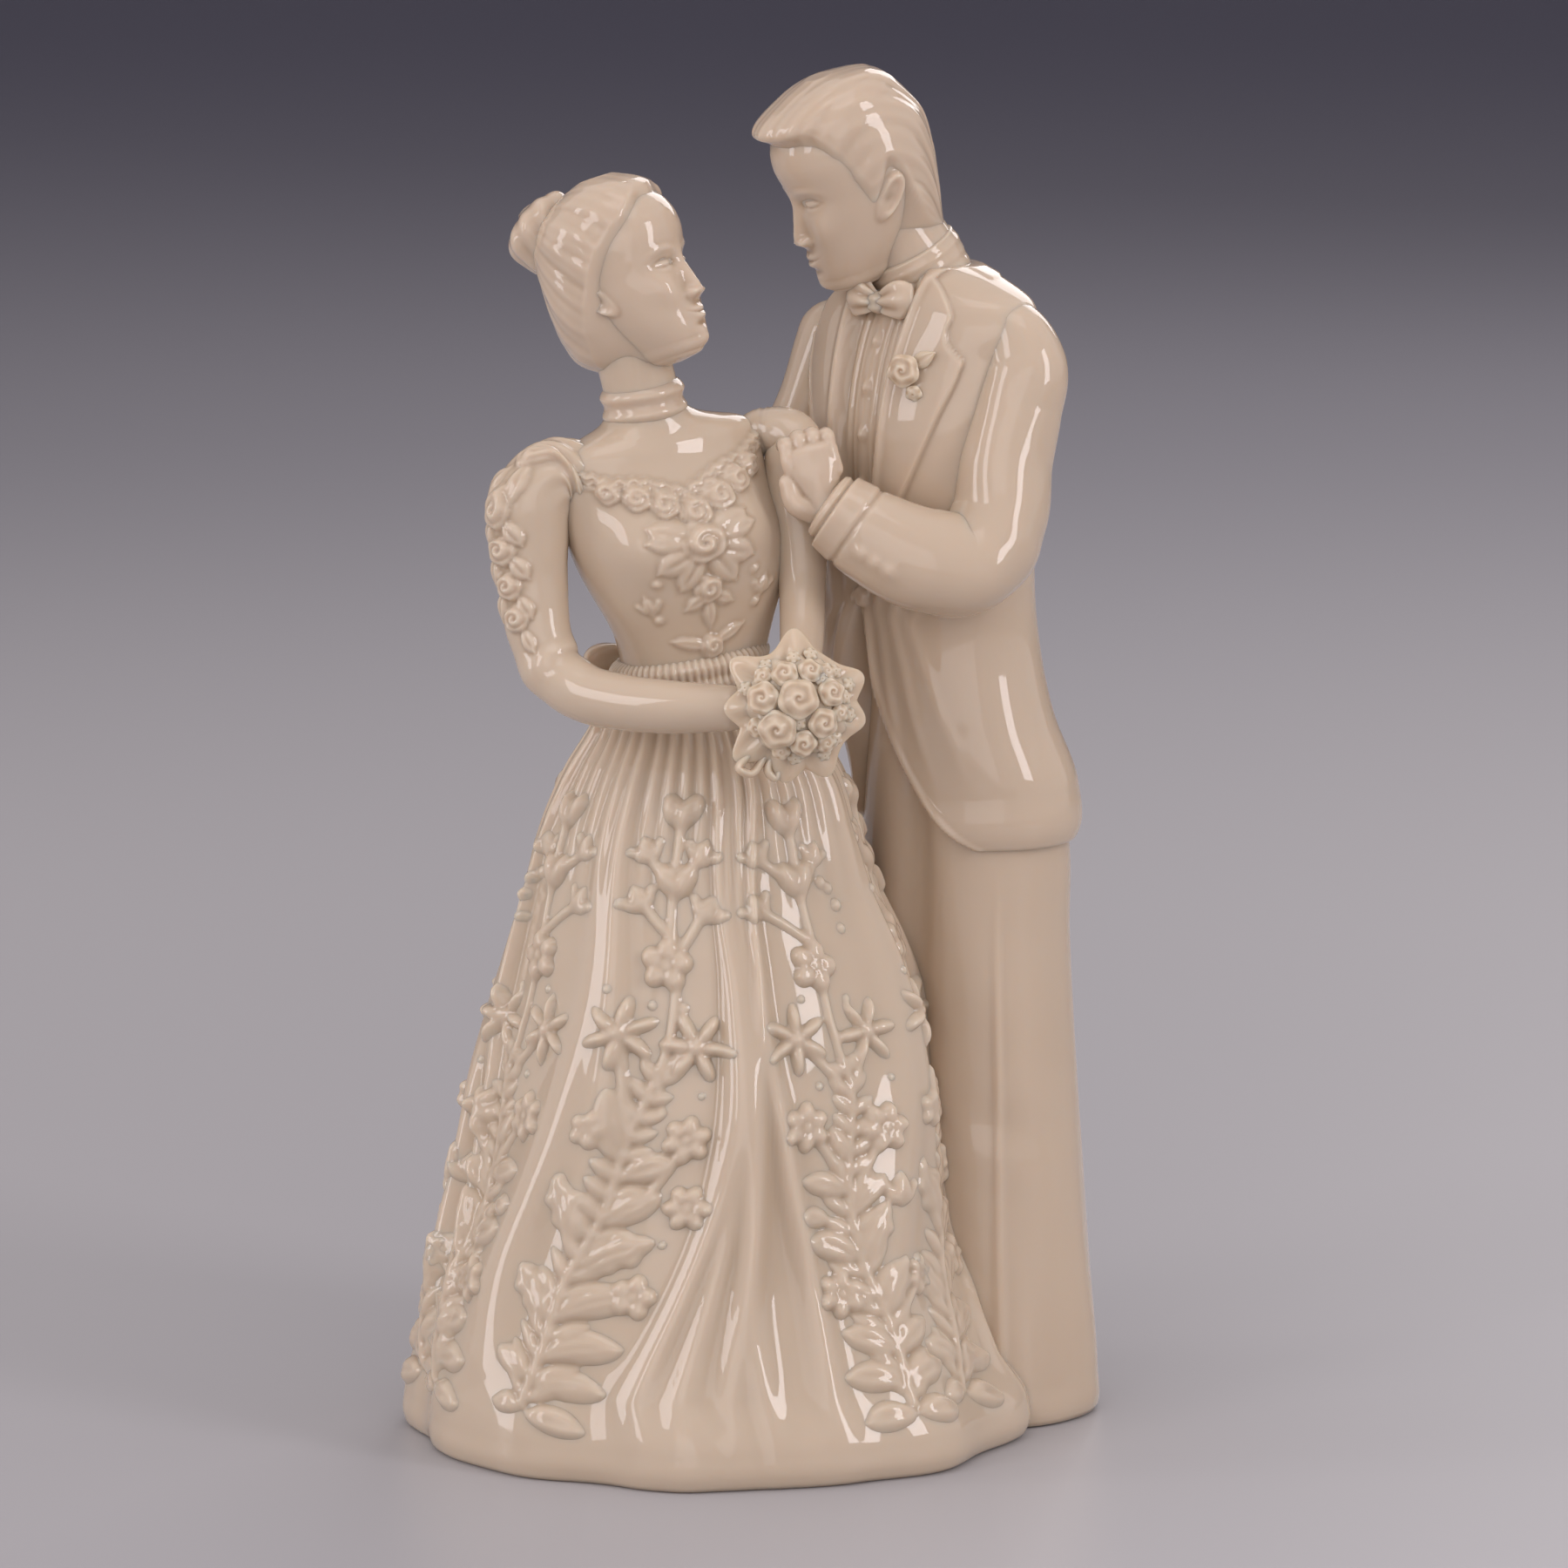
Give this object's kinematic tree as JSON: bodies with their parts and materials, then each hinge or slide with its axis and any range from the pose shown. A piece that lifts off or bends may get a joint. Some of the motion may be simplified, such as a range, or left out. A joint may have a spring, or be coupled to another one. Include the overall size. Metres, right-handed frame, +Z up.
{
  "type": "wedding cake topper",
  "caption": "Glazed ivory porcelain bride and groom embracing, her pleated gown with lace relief and bouquet, his tailcoat; stands on a flat foot on top of a cake",
  "frame": {"origin": "middle of the bounding box of the foot, on the surface the topper stands on", "axes": "+Z up; -Y towards the viewer; +X to the viewer's right, from the bride to the groom"},
  "size_m": [0.083, 0.07, 0.1611],
  "materials": {
    "gown_glaze": "glossy ivory glaze over moulded lace relief",
    "suit_glaze": "glossy ivory glaze, smooth",
    "skin_glaze": "glossy ivory glaze over modelled hair and skin",
    "flower_glaze": "glossy ivory glaze over hand-built petals"
  },
  "bodies": {
    "root": {"bride_skirt": "gown_glaze", "bride_bodice": "gown_glaze", "bride_sash": "gown_glaze", "bride_bow": "gown_glaze", "bride_bow_tail_left": "gown_glaze", "bride_bow_tail_right": "gown_glaze", "bride_neckline_ruffle": "gown_glaze", "bride_right_arm": "gown_glaze", "bride_left_arm": "gown_glaze", "groom_trousers": "suit_glaze", "groom_coat": "suit_glaze", "groom_shirt_front": "suit_glaze", "groom_lapel_left": "suit_glaze", "groom_lapel_right": "suit_glaze", "groom_shirt_collar": "suit_glaze", "groom_bow_tie": "suit_glaze", "groom_left_sleeve": "suit_glaze", "groom_left_cuff": "suit_glaze", "groom_right_sleeve": "suit_glaze", "groom_right_cuff": "suit_glaze", "bride_head": "skin_glaze", "bride_neck": "skin_glaze", "bride_choker": "skin_glaze", "bride_hair": "skin_glaze", "bride_hair_bun": "skin_glaze", "bride_right_hand": "skin_glaze", "bride_left_hand": "skin_glaze", "groom_head": "skin_glaze", "groom_neck": "skin_glaze", "groom_hair": "skin_glaze", "groom_left_hand": "skin_glaze", "groom_right_hand": "skin_glaze", "bouquet_collar": "flower_glaze", "bouquet_dome": "flower_glaze", "bouquet_stem": "flower_glaze", "bouquet_rose_1": "flower_glaze", "bouquet_rose_2": "flower_glaze", "bouquet_rose_3": "flower_glaze", "bouquet_rose_4": "flower_glaze", "bouquet_rose_5": "flower_glaze", "bouquet_rose_6": "flower_glaze", "bouquet_rose_7": "flower_glaze", "groom_buttonhole_rose": "flower_glaze"}
  },
  "joints": []
}
